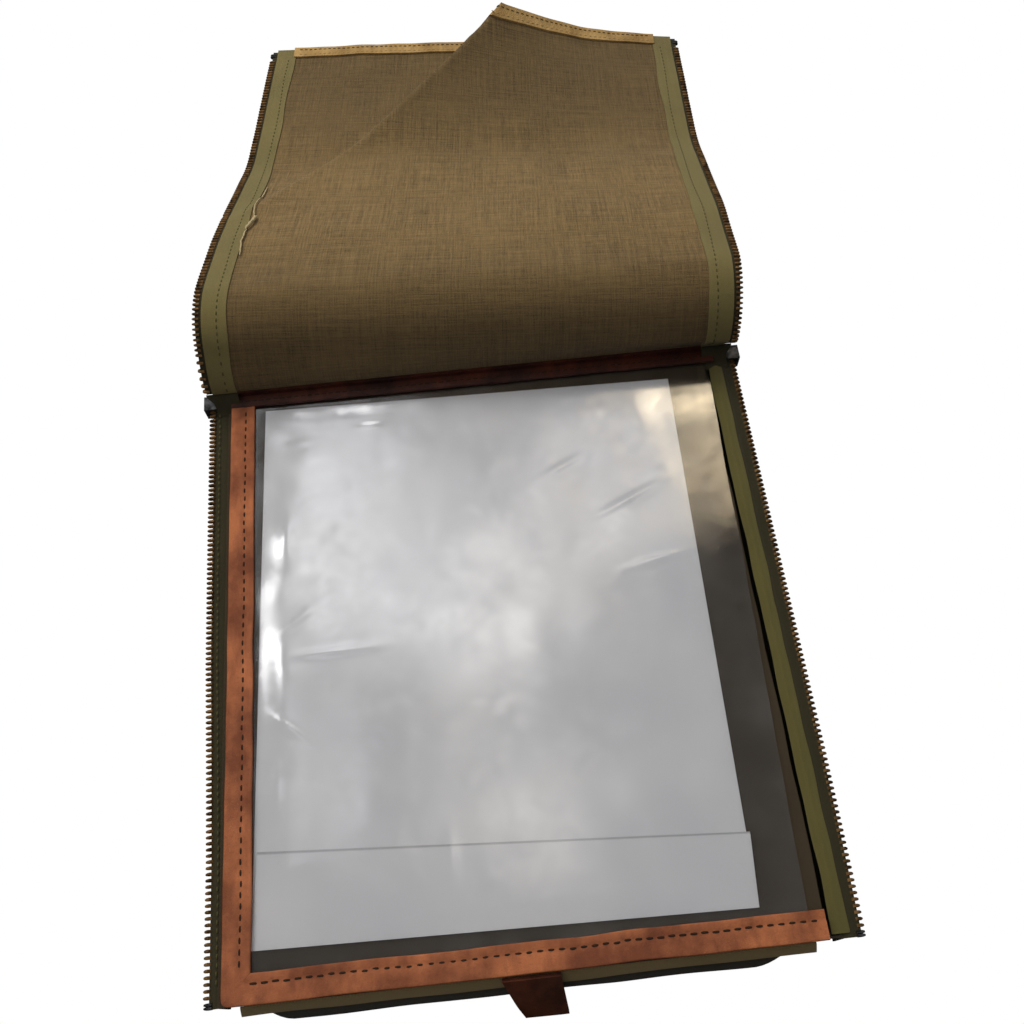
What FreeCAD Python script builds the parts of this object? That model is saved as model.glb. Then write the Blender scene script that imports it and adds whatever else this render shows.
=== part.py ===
"""Zip-sided canvas document case, opened: a shallow case with a clear window pocket, and a cloth flap
rolled back over its spine.

Frame: millimetres, origin at the centre of the case's back face, +X right, +Y towards the spine, +Z up
from the surface that the case lies on. The flap is drawn flat, as it lies when the case is closed, and
each of its segments is then turned about the bend lines between it and the spine.
"""
import FreeCAD, Part
import math
import os
import re

import Sketcher
from FreeCAD import Placement, Rotation, Vector

doc = FreeCAD.newDocument("DocumentCase")
sheet = doc.addObject("Spreadsheet::Sheet", "Dimensions")

DIMENSIONS = {
    # case
    "case_width": 256.4,
    "spine_y": 145.2,
    "front_y": -146.0,
    "back_thick": 1.6,
    "cloth_thick": 1.2,
    "wall_top": 17.0,
    "bulge": 7.0,
    "bulge_upper": 0.6,
    "bulge_lower": 0.8,
    "bulge_waist": 0.45,
    "bulge_shoulder": 0.75,
    "bulge_inner_shoulder": 0.72,
    "back_inset": 1.0,
    "panel_low": 17.8,
    "panel_high": 19.0,
    "panel_right": 121.5,
    "pane_low": 20.0,
    "pane_high": 20.6,
    "pane_left_inset": 3.6,
    "pane_past_panel": 0.9,
    "pane_front_inset": 1.4,
    "pane_under_strip": 4.0,
    "trim_top": 22.0,
    "trim_width": 12.0,
    "trim_inset": 2.2,
    "trim_fold": 1.2,
    "front_trim_short": 10.4,
    "strip_front": 136.0,
    "strip_back": 146.0,
    "strip_top": 22.4,
    "strip_inset": 2.0,
    "upstand_low": 142.6,
    "upstand_high": 144.6,
    "upstand_top": 25.0,
    # case zips: the tape between wall and teeth, the row of teeth, and how far each row leans inwards
    "tape_low": 17.0,
    "tape_high": 17.6,
    "teeth_low": 16.0,
    "teeth_high": 18.6,
    "teeth_width": 4.0,
    "teeth_edge": 138.6,
    "row_back": 140.0,
    "row_front": -143.0,
    "left_lean": 4.0,
    "right_lean": 1.4,
    "facing_inner": 128.6,
    "facing_high": 18.2,
    "facing_gap": 0.6,
    "facing_splay": 1.0,
    # paper in the pocket
    "paper_width": 210.0,
    "paper_length": 261.4,
    "paper_low": 19.2,
    "paper_thick": 0.3,
    "paper_fold": 35.8,
    "paper_turn": -1.25,
    "paper_corner_x": -114.5,
    "paper_corner_y": -127.2,
    # flap
    "flap_shift": -1.0,
    "hinge_y": 143.5,
    "hinge_z": 26.5,
    "bend_hinge": 0.0,
    "root_start": 6.6,
    "bend_roll": 20.0,
    "bend_panel": 46.0,
    "bend_end": 184.0,
    "flap_length": 292.0,
    "cloth_end": 284.0,
    "end_strip_start": 276.0,
    "bend_slope": 0.042,
    "bend_gap": 0.8,
    "pitch_root": 78.0,
    "pitch_roll": 36.0,
    "pitch_panel": -18.0,
    "pitch_end": -5.0,
    "cover_edge": 131.0,
    "lining_edge": 117.5,
    "flap_tape_inner": 118.0,
    "flap_facing_inner": 121.0,
    "flap_teeth_inner": 134.5,
    "flap_edge": 138.5,
    "flap_tape_gap": 0.2,
    # heights of the flap's layers above or below its own middle plane
    "cover_low": 0.5,
    "cover_high": 1.4,
    "lining_low": -0.35,
    "lining_high": 0.45,
    "flap_tape_low": -0.25,
    "flap_facing_low": -1.0,
    "flap_facing_high": -0.4,
    "flap_teeth_half": 1.3,
    "end_strip_low": 1.5,
    "end_strip_high": 2.9,
    # sliders, their pulls and the leather tab
    "slider_length": 8.0,
    "slider_half": 4.2,
    "slider_wall": 1.3,
    "slider_clear": 0.5,
    "slider_rest_y": 141.0,
    "bail_drop": 2.4,
    "bail_radius": 0.6,
    "lug_thick": 1.0,
    "lug_width": 2.4,
    "lug_overlap": 0.3,
    "lug_offset": 0.8,
    "pull_length": 17.0,
    "pull_width": 4.0,
    "pull_thick": 1.2,
    "eye_radius": 1.9,
    "eye_hole": 0.9,
    "tab_y": -147.4,
    "tab_z": 20.2,
    "tab_length": 21.0,
    "tab_root_left": -13.0,
    "tab_root_right": 11.0,
    "tab_tip_left": -5.0,
    "tab_tip_right": 13.0,
    "tab_thick": 2.2,
    "tab_slope": 50.0,
    "stop_length": 3.0,
    "stop_gap": 0.2,
}
for row, (alias, value) in enumerate(DIMENSIONS.items(), start=1):
    sheet.set(f"A{row}", alias)
    sheet.set(f"B{row}", str(value))
    sheet.setAlias(f"B{row}", alias)
doc.recompute()

PARTS = []


def dim(alias):
    """A driving dimension's value, as the sheet holds it."""
    return float(getattr(sheet, alias))


def bind(text):
    """An expression over the sheet: every alias in the text gets the sheet's name before it."""
    return re.sub("[a-z_]+", lambda word: f"Dimensions.{word[0]}" if word[0] in DIMENSIONS else word[0], text)


def keep(thing, label):
    """Name a finished sub-part and list it for writing."""
    thing.Label = label
    PARTS.append(thing)
    return thing


def outline(sketch, loops):
    """Closed outlines in a sketch. Each corner is a pair of expressions, held by two dimensions."""
    for loop in loops:
        first = sketch.GeometryCount
        count = len(loop)
        guess = [Vector(*(float(sheet.evalExpression(bind(text))) for text in corner), 0) for corner in loop]
        for index in range(count):
            sketch.addGeometry(Part.LineSegment(guess[index], guess[(index + 1) % count]), False)
        for index in range(count):
            follower = first + (index + 1) % count
            sketch.addConstraint(Sketcher.Constraint("Coincident", first + index, 2, follower, 1))
        for index, corner in enumerate(loop):
            for kind, text, place in zip(("DistanceX", "DistanceY"), corner, guess[index]):
                constraint = Sketcher.Constraint(kind, -1, 1, first + index, 1, place)
                number = sketch.addConstraint(constraint)
                sketch.setExpression(f"Constraints[{number}]", bind(text))


def block(label, x, y, z):
    """A flat rectangular piece. Each side is a pair of expressions, low and high."""
    box = doc.addObject("Part::Box", label)
    for side, base, (low, high) in zip(("Length", "Width", "Height"), "xyz", (x, y, z)):
        box.setExpression(side, bind(f"( {high} ) - ( {low} )"))
        box.setExpression(f"Placement.Base.{base}", bind(low))
    return keep(box, label)


def sheet_piece(label, loops, low, high, placement=None):
    """A flat piece cut to one or more outlines in plan, between two heights."""
    sketch = doc.addObject("Sketcher::SketchObject", f"{label}_outline")
    outline(sketch, loops)
    sketch.setExpression("Placement.Base.z", bind(low))
    piece = doc.addObject("Part::Extrusion", label)
    piece.Base = sketch
    piece.DirMode = "Custom"
    piece.Dir = Vector(0, 0, 1)
    piece.Solid = True
    piece.setExpression("LengthFwd", bind(f"( {high} ) - ( {low} )"))
    if placement:
        piece.Placement = placement
    return keep(piece, label)


def section_body(label, loops, start, length, plane="YZ_Plane", finished=True):
    """A PartDesign body: one section padded along X, or towards the front from start on an XZ plane."""
    body = doc.addObject("PartDesign::Body", label)
    sketch = body.newObject("Sketcher::SketchObject", f"{label}_section")
    origin = next(item for item in body.Origin.OriginFeatures if item.Role == plane)
    sketch.AttachmentSupport = [(origin, "")]
    sketch.MapMode = "FlatFace"
    outline(sketch, loops)
    pad = body.newObject("PartDesign::Pad", f"{label}_pad")
    pad.Profile = sketch
    pad.setExpression("Length", bind(length))
    sketch.Visibility = False
    body.setExpression(f"Placement.Base.{'x' if plane == 'YZ_Plane' else 'y'}", bind(start))
    return keep(body, label) if finished else body


# ---- the case: back, three gussets, spine, pocket panel and window -------------------------------

HALF = "case_width / 2"


def make_case_cloth():
    block("back_panel", (f"-{HALF}", HALF), ("front_y - bulge + back_inset", "spine_y"), ("0", "back_thick"))
    for side, low, high in (
        ("left", f"-{HALF}", f"-{HALF} + cloth_thick"),
        ("right", f"{HALF} - cloth_thick", HALF),
    ):
        block(f"{side}_gusset", (low, high), ("front_y + cloth_thick", "spine_y - cloth_thick"),
              ("back_thick", "wall_top"))
    block("spine_wall", (f"-{HALF}", HALF), ("spine_y - cloth_thick", "spine_y"), ("back_thick", "panel_low"))
    front = [
        ("front_y", "panel_low"),
        ("front_y - bulge_upper * bulge", "bulge_shoulder * wall_top"),
        ("front_y - bulge", "bulge_waist * wall_top"),
        ("front_y - bulge_lower * bulge", "back_thick"),
        ("front_y - bulge_lower * bulge + cloth_thick", "back_thick"),
        ("front_y - bulge + cloth_thick", "bulge_waist * wall_top"),
        ("front_y - bulge_upper * bulge + cloth_thick", "bulge_inner_shoulder * wall_top"),
        ("front_y + cloth_thick", "panel_low"),
    ]
    section_body("front_gusset", [front], f"-{HALF}", "case_width")
    block("pocket_panel", (f"-{HALF}", "panel_right"), ("front_y", "spine_y"), ("panel_low", "panel_high"))
    block("window_pane", (f"-{HALF} + pane_left_inset", "panel_right + pane_past_panel"),
          ("front_y + pane_front_inset", "strip_front + pane_under_strip"), ("pane_low", "pane_high"))


def make_trims():
    """Leather strips. The left and front ones are folded round the edges of the panel and the window."""
    edge = f"-{HALF} + trim_inset"
    left = [
        (edge, "panel_high"),
        (f"{edge} + trim_fold", "panel_high"),
        (f"{edge} + trim_fold", "pane_high"),
        (f"{edge} + trim_width", "pane_high"),
        (f"{edge} + trim_width", "trim_top"),
        (edge, "trim_top"),
    ]
    section_body("left_trim", [left], "strip_front", "strip_front - front_y - trim_width", "XZ_Plane")
    front = [
        ("front_y", "panel_high"),
        ("front_y + trim_fold", "panel_high"),
        ("front_y + trim_fold", "pane_high"),
        ("front_y + trim_width", "pane_high"),
        ("front_y + trim_width", "trim_top"),
        ("front_y", "trim_top"),
    ]
    section_body("front_trim", [front], edge, "case_width - front_trim_short")
    spine = [
        ("strip_front", "pane_high"),
        ("strip_back", "pane_high"),
        ("strip_back", "strip_top"),
        ("upstand_high", "strip_top"),
        ("upstand_high", "upstand_top"),
        ("upstand_low", "upstand_top"),
        ("upstand_low", "strip_top"),
        ("strip_front", "strip_top"),
    ]
    section_body("spine_strip", [spine], f"-{HALF} + strip_inset", "case_width - 2 * strip_inset")


# ---- the case's zips -------------------------------------------------------------------------------


def row_corners(sign, lean, inner, inner_back, outer):
    """A strip beside the case, from the front to the spine, whose outer edge leans in at the front."""
    return [
        (f"{sign} * ( {inner} )", "row_front"),
        (f"{sign} * ( {outer} - {lean} )", "row_front"),
        (f"{sign} * ( {outer} )", "row_back"),
        (f"{sign} * ( {inner_back} )", "row_back"),
    ]


def make_case_zips():
    teeth_inner = "teeth_edge - teeth_width"
    for side, sign in (("left", "-1"), ("right", "1")):
        lean = f"{side}_lean"
        wall = "case_width / 2 - cloth_thick"
        tape = row_corners(sign, lean, wall, wall, teeth_inner)
        teeth = row_corners(sign, lean, f"{teeth_inner} - {lean}", teeth_inner, "teeth_edge")
        sheet_piece(f"{side}_zip_tape", [tape], "tape_low", "tape_high")
        sheet_piece(f"{side}_zip_teeth", [teeth], "teeth_low", "teeth_high")
    facing = [
        ("facing_inner", "row_front"),
        ("teeth_edge - teeth_width - right_lean - facing_gap", "row_front"),
        ("teeth_edge - teeth_width - facing_gap", "row_back"),
        ("facing_inner - facing_splay", "row_back"),
    ]
    sheet_piece("right_facing_tape", [facing], "tape_high", "facing_high")
    stops = []
    for sign, lean in (("-1", "left_lean"), ("1", "right_lean")):
        near = f"{sign} * ( teeth_edge - teeth_width - {lean} )"
        far = f"{sign} * ( teeth_edge - {lean} )"
        back = "row_front - stop_gap"
        front = f"{back} - stop_length"
        stops.append([(near, front), (far, front), (far, back), (near, back)])
    sheet_piece("zip_end_stops", stops, "teeth_low", "teeth_high")


# ---- the flap --------------------------------------------------------------------------------------

# segment name, where it starts and ends along the cloth, its pitch at rest
SEGMENTS = [
    ("root", "bend_hinge", "bend_roll", "pitch_root"),
    ("roll", "bend_roll", "bend_panel", "pitch_roll"),
    ("panel", "bend_panel", "bend_end", "pitch_panel"),
    ("end", "bend_end", "cloth_end", "pitch_end"),
]


def bend_line(alias):
    """Where a bend crosses the flap's middle, and the bend's direction, on the flat flap.

    Every bend runs a little askew, so the flap lies turned on the surface behind the case.
    """
    skew = math.atan(dim("bend_slope"))
    centre = Vector(dim("flap_shift"), dim("hinge_y") - dim(alias), dim("hinge_z"))
    return centre, Vector(math.cos(skew), -math.sin(skew), 0)


def rest_placements():
    """Each segment's way from the flat flap to rest: its own bend, then those nearer the spine."""
    placement = Placement()
    pitch_before = 180.0
    found = {}
    for name, start, _, pitch in SEGMENTS:
        centre, axis = bend_line(start)
        turn = Placement(Vector(0, 0, 0), Rotation(axis, dim(pitch) - pitch_before), centre)
        placement = placement.multiply(turn)
        pitch_before = dim(pitch)
        found[name] = placement
    return found


def flap_corners(low_x, high_x, start, end):
    """Four corners on the flat flap, between two bend lines, each cut back from its bend."""
    corners = []
    for x, bend, cut in (
        (low_x, start, "+ bend_gap"),
        (high_x, start, "+ bend_gap"),
        (high_x, end, "- bend_gap"),
        (low_x, end, "- bend_gap"),
    ):
        if bend == "bend_hinge":
            along = f"root_start + ( {x} ) * bend_slope"
        elif bend in ("cloth_end", "flap_length", "end_strip_start"):
            along = bend
        else:
            along = f"{bend} + ( {x} ) * bend_slope {cut}"
        corners.append((f"flap_shift + ( {x} )", f"hinge_y - ( {along} )"))
    return corners


def make_flap():
    # layer: its x ranges and its heights on the flat flap, whose lining side is down
    pair = lambda inner, outer: [(f"-1 * ( {outer} )", f"-1 * ( {inner} )"), (inner, outer)]
    layers = {
        "cover": ([("-1 * cover_edge", "cover_edge")], "hinge_z + cover_low", "hinge_z + cover_high"),
        "lining": ([("-1 * lining_edge", "lining_edge")], "hinge_z + lining_low", "hinge_z + lining_high"),
        "zip_tapes": (pair("flap_tape_inner", "flap_teeth_inner - flap_tape_gap"),
                      "hinge_z + flap_tape_low", "hinge_z + lining_high"),
        "facing_tapes": (pair("flap_facing_inner", "cover_edge"),
                         "hinge_z + flap_facing_low", "hinge_z + flap_facing_high"),
        "zip_teeth": (pair("flap_teeth_inner", "flap_edge"),
                      "hinge_z - flap_teeth_half", "hinge_z + flap_teeth_half"),
    }
    placements = rest_placements()
    for name, start, end, _ in SEGMENTS:
        for layer, (ranges, low, high) in layers.items():
            loops = [flap_corners(low_x, high_x, start, end) for low_x, high_x in ranges]
            sheet_piece(f"flap_{name}_{layer}", loops, low, high, placements[name])
    strip = [flap_corners("-1 * cover_edge", "cover_edge", "end_strip_start", "flap_length")]
    sheet_piece("flap_end_strip", strip, "hinge_z + end_strip_low", "hinge_z + end_strip_high", placements["end"])
    stops = []
    for low_x, high_x in pair("flap_teeth_inner", "flap_edge"):
        near = "hinge_y - cloth_end - stop_gap"
        far = f"{near} - stop_length"
        left, right = f"flap_shift + ( {low_x} )", f"flap_shift + ( {high_x} )"
        stops.append([(left, far), (right, far), (right, near), (left, near)])
    sheet_piece("flap_zip_stops", stops, "hinge_z - flap_teeth_half", "hinge_z + flap_teeth_half",
                placements["end"])


# ---- what slides and swings ------------------------------------------------------------------------


def slide_direction(sign, lean):
    """The way a slider goes from the spine to the front, along its leaning row of teeth."""
    travel = Vector(-sign * dim(lean), dim("row_front") - dim("row_back"), 0)
    return travel.normalize()


def make_slider(side, sign):
    """A slider round its row of teeth, open to the tape, with a bail below that holds its pull."""
    lean = f"{side}_lean"
    way = slide_direction(sign, lean)
    middle = (dim("teeth_low") + dim("teeth_high")) / 2
    centre = Vector(sign * (dim("teeth_edge") - dim("teeth_width") / 2), dim("slider_rest_y"), middle)
    turn = Rotation(Vector(0, 0, 1), math.degrees(math.atan2(way.x, -way.y)))
    place = Placement(centre, turn)
    half, wall = "slider_half", "slider_wall"
    inner = "teeth_width / 2 + slider_clear"
    outer = f"{inner} + slider_wall"
    lip = f"{-sign} * ( {inner} )"
    channel = [
        (lip, f"-1 * {half}"),
        (f"{sign} * ( {outer} )", f"-1 * {half}"),
        (f"{sign} * ( {outer} )", half),
        (lip, half),
        (lip, f"{half} - {wall}"),
        (f"{sign} * ( {inner} )", f"{half} - {wall}"),
        (f"{sign} * ( {inner} )", f"{wall} - {half}"),
        (lip, f"{wall} - {half}"),
    ]
    label = f"{side}_slider"
    pieces = [section_body(f"{label}_channel", [channel], "slider_length / 2", "slider_length", "XZ_Plane", False)]
    drop = "slider_half + bail_drop"
    for step in (-1, 1):
        lug = doc.addObject("Part::Box", f"{label}_lug")
        lug.setExpression("Length", bind("lug_thick"))
        lug.setExpression("Width", bind("lug_width"))
        lug.setExpression("Height", bind("bail_drop + bail_radius + lug_overlap"))
        lug.setExpression("Placement.Base.x", bind(f"{step} * ( pull_width / 2 + lug_offset ) - lug_thick / 2"))
        lug.setExpression("Placement.Base.y", bind("-1 * lug_width / 2"))
        lug.setExpression("Placement.Base.z", bind(f"-1 * ( {drop} ) - bail_radius"))
        pieces.append(lug)
    bar = doc.addObject("Part::Cylinder", f"{label}_bar")
    bar.setExpression("Radius", bind("bail_radius"))
    bar.setExpression("Height", bind("pull_width + 2 * lug_offset"))
    start = Vector(-dim("pull_width") / 2 - dim("lug_offset"), 0, -dim("slider_half") - dim("bail_drop"))
    bar.Placement = Placement(start, Rotation(Vector(0, 1, 0), 90))
    pieces.append(bar)
    whole = doc.addObject("Part::MultiFuse", f"{label}_whole")
    whole.Shapes = pieces
    whole.Placement = place
    keep(whole, label)
    make_pull(side, place)


def make_pull(side, place):
    """A slider's pull: an eye on the bail and a plate that leans down to the surface."""
    body = doc.addObject("PartDesign::Body", f"{side}_pull")
    plane = next(item for item in body.Origin.OriginFeatures if item.Role == "YZ_Plane")
    profile = body.newObject("Sketcher::SketchObject", f"{side}_pull_section")
    profile.AttachmentSupport = [(plane, "")]
    profile.MapMode = "FlatFace"
    number = profile.addGeometry(Part.Circle(Vector(0, 0, 0), Vector(0, 0, 1), dim("eye_radius")), False)
    profile.addConstraint(Sketcher.Constraint("Coincident", number, 3, -1, 1))
    radius = profile.addConstraint(Sketcher.Constraint("Radius", number, dim("eye_radius")))
    profile.setExpression(f"Constraints[{radius}]", bind("eye_radius"))
    eye = body.newObject("PartDesign::Pad", f"{side}_pull_eye")
    eye.Profile = profile
    eye.Midplane = True
    eye.setExpression("Length", bind("pull_width"))
    plate = body.newObject("Sketcher::SketchObject", f"{side}_pull_plate_section")
    plate.AttachmentSupport = [(plane, "")]
    plate.MapMode = "FlatFace"
    half = "pull_thick / 2"
    outline(plate, [[("-1 * pull_length", f"-1 * {half}"), ("-1 * bail_radius", f"-1 * {half}"),
                     ("-1 * bail_radius", half), ("-1 * pull_length", half)]])
    blade = body.newObject("PartDesign::Pad", f"{side}_pull_blade")
    blade.Profile = plate
    blade.Midplane = True
    blade.setExpression("Length", bind("pull_width"))
    doc.recompute()
    hole = body.newObject("Sketcher::SketchObject", f"{side}_pull_hole_section")
    hole.AttachmentSupport = [(plane, "")]
    hole.MapMode = "FlatFace"
    number = hole.addGeometry(Part.Circle(Vector(0, 0, 0), Vector(0, 0, 1), dim("eye_hole")), False)
    hole.addConstraint(Sketcher.Constraint("Coincident", number, 3, -1, 1))
    radius = hole.addConstraint(Sketcher.Constraint("Radius", number, dim("eye_hole")))
    hole.setExpression(f"Constraints[{radius}]", bind("eye_hole"))
    bore = body.newObject("PartDesign::Pocket", f"{side}_pull_bore")
    bore.Profile = hole
    bore.Midplane = True
    bore.setExpression("Length", bind("2 * pull_width"))
    drop = dim("slider_half") + dim("bail_drop")
    pivot_height = place.Base.z - drop
    lean = math.asin((pivot_height - dim("pull_thick")) / dim("pull_length"))
    tilt = Placement(Vector(0, 0, -drop), Rotation(Vector(1, 0, 0), math.degrees(lean)))
    body.Placement = place.multiply(tilt)
    keep(body, f"{side}_pull")


def make_tab():
    """The leather tab sewn under the front trim, two layers thick, sloping down over the front."""
    shape = [("tab_tip_left", "-1 * tab_length"), ("tab_tip_right", "-1 * tab_length"),
             ("tab_root_right", "0"), ("tab_root_left", "0")]
    slope = Placement(Vector(0, dim("tab_y"), dim("tab_z")), Rotation(Vector(1, 0, 0), dim("tab_slope")))
    sheet_piece("pull_tab", [shape], "-1 * tab_thick / 2", "tab_thick / 2", slope)


def make_paper():
    """A sheet of paper with its front end folded up over itself, lying a little askew in the pocket."""
    page = doc.addObject("Part::Box", "page")
    page.setExpression("Length", bind("paper_width"))
    page.setExpression("Width", bind("paper_length"))
    page.setExpression("Height", bind("paper_thick"))
    fold = doc.addObject("Part::Box", "fold")
    fold.setExpression("Length", bind("paper_width"))
    fold.setExpression("Width", bind("paper_fold"))
    fold.setExpression("Height", bind("2 * paper_thick"))
    whole = doc.addObject("Part::MultiFuse", "folded_page")
    whole.Shapes = [page, fold]
    corner = Vector(dim("paper_corner_x"), dim("paper_corner_y"), dim("paper_low"))
    whole.Placement = Placement(corner, Rotation(Vector(0, 0, 1), dim("paper_turn")))
    keep(whole, "paper_sheet")


make_case_cloth()
make_trims()
make_case_zips()
make_flap()
make_slider("left", -1)
make_slider("right", 1)
make_tab()
make_paper()
doc.recompute()

for item in doc.Objects:
    if "Invalid" in item.State or "Error" in item.State:
        raise RuntimeError(f"{item.Label} is {item.State}: {item.getStatusString()}")
for part in PARTS:
    if part.Shape.isNull() or not part.Shape.isValid():
        raise RuntimeError(f"{part.Label} has no valid shape")

os.makedirs("parts", exist_ok=True)
for part in PARTS:
    part.Shape.exportStep(f"parts/{part.Label}.step")
    box = part.Shape.BoundBox
    print(f"{part.Label:24s} solids {len(part.Shape.Solids)}  volume {part.Shape.Volume:9.1f}  "
          f"x {box.XMin:7.1f} {box.XMax:7.1f}  y {box.YMin:7.1f} {box.YMax:7.1f}  "
          f"z {box.ZMin:6.2f} {box.ZMax:6.2f}")
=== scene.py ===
# %% [markdown]
# # Zip-sided canvas document case, open
#
# A shallow canvas case with a clear window pocket over a sheet of paper, leather trims round the
# window, a brass zip down each side, and a cloth flap rolled back over the spine.
#
# The cells go from the camera to the finishes, then the flap, the case, the pocket, the zips and the
# small leather parts. Lengths inside the cells are millimetres, in the imported model's frame.

# %% [markdown]
# ## The frame
# The imported model is loaded first. Most pieces below ride on one of its bodies.

import math

import bpy
from mathutils import Matrix, Vector, noise


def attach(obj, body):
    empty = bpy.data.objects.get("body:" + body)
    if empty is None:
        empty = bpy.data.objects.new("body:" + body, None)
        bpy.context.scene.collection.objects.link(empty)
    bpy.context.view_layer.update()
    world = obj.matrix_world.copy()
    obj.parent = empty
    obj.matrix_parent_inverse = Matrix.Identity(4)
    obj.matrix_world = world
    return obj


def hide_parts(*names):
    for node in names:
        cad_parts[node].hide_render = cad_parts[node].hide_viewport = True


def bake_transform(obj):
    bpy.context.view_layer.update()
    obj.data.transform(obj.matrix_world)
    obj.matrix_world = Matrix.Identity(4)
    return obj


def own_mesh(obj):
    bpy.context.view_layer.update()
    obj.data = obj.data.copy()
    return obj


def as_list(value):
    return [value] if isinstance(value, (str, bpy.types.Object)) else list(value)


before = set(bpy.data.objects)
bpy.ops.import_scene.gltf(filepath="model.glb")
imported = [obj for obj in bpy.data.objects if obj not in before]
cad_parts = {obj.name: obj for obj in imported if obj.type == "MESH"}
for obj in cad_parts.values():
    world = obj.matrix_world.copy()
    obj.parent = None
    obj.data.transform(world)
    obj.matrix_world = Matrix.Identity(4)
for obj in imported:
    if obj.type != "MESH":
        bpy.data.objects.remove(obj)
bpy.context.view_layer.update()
scene = bpy.context.scene
MM = 0.001


# %% [markdown]
# ## Camera and daylight
# The case is seen from in front of its near edge, from above, and turned a little. The light is an
# overcast sky with a bright window beside it, which the clear pocket mirrors.

# %%
CAMERA_PLACE = (0.0003, -0.1649, 0.4833)
CAMERA_RIGHT = (0.9945, -0.1017, -0.0237)
CAMERA_UP = (0.1017, 0.8928, 0.4388)
CAMERA_BACK = (-0.0234, -0.4388, 0.8983)
LENS = 36.914

lens = bpy.data.cameras.new("camera")
lens.lens = LENS
lens.clip_start = 0.01
camera = bpy.data.objects.new("camera", lens)
scene.collection.objects.link(camera)
turn = Matrix((CAMERA_RIGHT, CAMERA_UP, CAMERA_BACK)).transposed().to_4x4()
camera.matrix_world = Matrix.Translation(CAMERA_PLACE) @ turn
scene.camera = camera
scene.render.resolution_x = scene.render.resolution_y = 1024
scene.view_settings.view_transform = "Standard"


def area_light(name, place, aim, size, power, color):
    """A square of light at place, facing aim (metres)."""
    light = bpy.data.lights.new(name, "AREA")
    light.shape = "RECTANGLE"
    light.size, light.size_y = size
    light.energy = power
    light.color = color
    lamp = bpy.data.objects.new(name, light)
    lamp.location = place
    lamp.rotation_euler = (Vector(aim) - Vector(place)).to_track_quat("-Z", "Y").to_euler()
    lamp.visible_glossy = False
    scene.collection.objects.link(lamp)


CASE_MIDDLE = (0, 0.1, 0)
area_light("key", (-0.55, 1.0, 0.95), CASE_MIDDLE, (0.45, 0.45), power=9.5, color=(1.0, 0.965, 0.90))
area_light("fill", (-0.6, -0.1, 0.9), CASE_MIDDLE, (0.6, 0.6), power=0.9, color=(1.0, 0.98, 0.96))

# What the window mirrors: (x, y) on the window where the camera sees it, its radius, and its colour.
# The last ones lie beyond the window's edge, so only the film's ripples catch them.
MIRRORED = (
    (113, 116, 46, (5.6, 4.6, 3.1)),
    (116, 84, 34, (2.0, 1.6, 1.05)),
    (-6, 14, 52, (1.9, 1.85, 1.75)),
    (-66, 34, 52, (1.5, 1.5, 1.5)),
    (-70, 100, 60, (1.3, 1.32, 1.36)),
    (48, 62, 44, (1.2, 1.15, 1.08)),
    (10, -84, 46, (0.9, 0.86, 0.8)),
    (-90, -60, 40, (0.7, 0.72, 0.76)),
    (-196, 30, 46, (8.0, 8.0, 8.0)),
    (-60, 206, 34, (7.0, 7.0, 7.0)),
)
FILM_HEIGHT = 0.0203
CAMERA_IMAGE = Vector((CAMERA_PLACE[0], CAMERA_PLACE[1], 2 * FILM_HEIGHT - CAMERA_PLACE[2]))

world = bpy.data.worlds.new("daylight")
world.use_nodes = True
scene.world = world
sky = world.node_tree


def plug(tree, made, key, value):
    """Give one input of a shader node a value, or a link when the value is another node's output."""
    if isinstance(value, bpy.types.NodeSocket):
        tree.links.new(value, made.inputs[key])
    else:
        made.inputs[key].default_value = value


def shader_node(tree, kind, inputs, output=0, **settings):
    """Add a shader node to a tree, set it up, and give back one of its outputs."""
    made = tree.nodes.new(f"ShaderNode{kind}")
    for name, value in settings.items():
        setattr(made, name, value)
    for key, value in inputs.items():
        plug(tree, made, key, value)
    return made.outputs[output]


def sky_node(kind, inputs, output=0, **settings):
    return shader_node(sky, kind, inputs, output, **settings)


direction = sky.nodes.new("ShaderNodeTexCoord").outputs["Generated"]
facing = sky_node("VectorMath", {0: direction, 1: (-0.10, 0.62, 0.78)}, "Value", operation="DOT_PRODUCT")
overhead = sky_node("MapRange", {"Value": facing, "From Min": -0.15, "From Max": 0.9,
                                 "To Min": 0.03, "To Max": 0.74})
ambient = sky_node("Background", {"Color": (1.0, 0.985, 0.96, 1), "Strength": overhead})
mirrored = sky_node("MapRange", {"Value": facing, "From Min": -0.2, "From Max": 1.0,
                                 "To Min": 0.01, "To Max": 0.06})
mirrored = sky_node("Mix", {0: mirrored, 6: (0, 0, 0, 1), 7: (1, 1, 1, 1)}, 2, data_type="RGBA")
for x, y, radius, color in MIRRORED:
    spot = Vector((x * MM, y * MM, FILM_HEIGHT))
    toward = (spot - CAMERA_IMAGE).normalized()
    width = radius * MM / (spot - CAMERA_IMAGE).length
    apart = sky_node("VectorMath", {0: direction, 1: tuple(toward)}, "Value", operation="DISTANCE")
    share = sky_node("MapRange", {"Value": apart, "From Min": width, "From Max": 0.0},
                     interpolation_type="SMOOTHSTEP")
    mirrored = sky_node("Mix", {0: share, 6: mirrored, 7: (*color, 1)}, 2, data_type="RGBA")
glossy = sky_node("Background", {"Color": mirrored})
rays = sky.nodes.new("ShaderNodeLightPath")
lit = sky_node("MixShader", {"Fac": rays.outputs["Is Glossy Ray"], 1: ambient, 2: glossy})
backdrop = sky_node("Background", {"Color": (1, 1, 1, 1)})
shown = sky_node("MixShader", {"Fac": rays.outputs["Is Camera Ray"], 1: lit, 2: backdrop})
sky.links.new(shown, sky.nodes["World Output"].inputs["Surface"])

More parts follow.
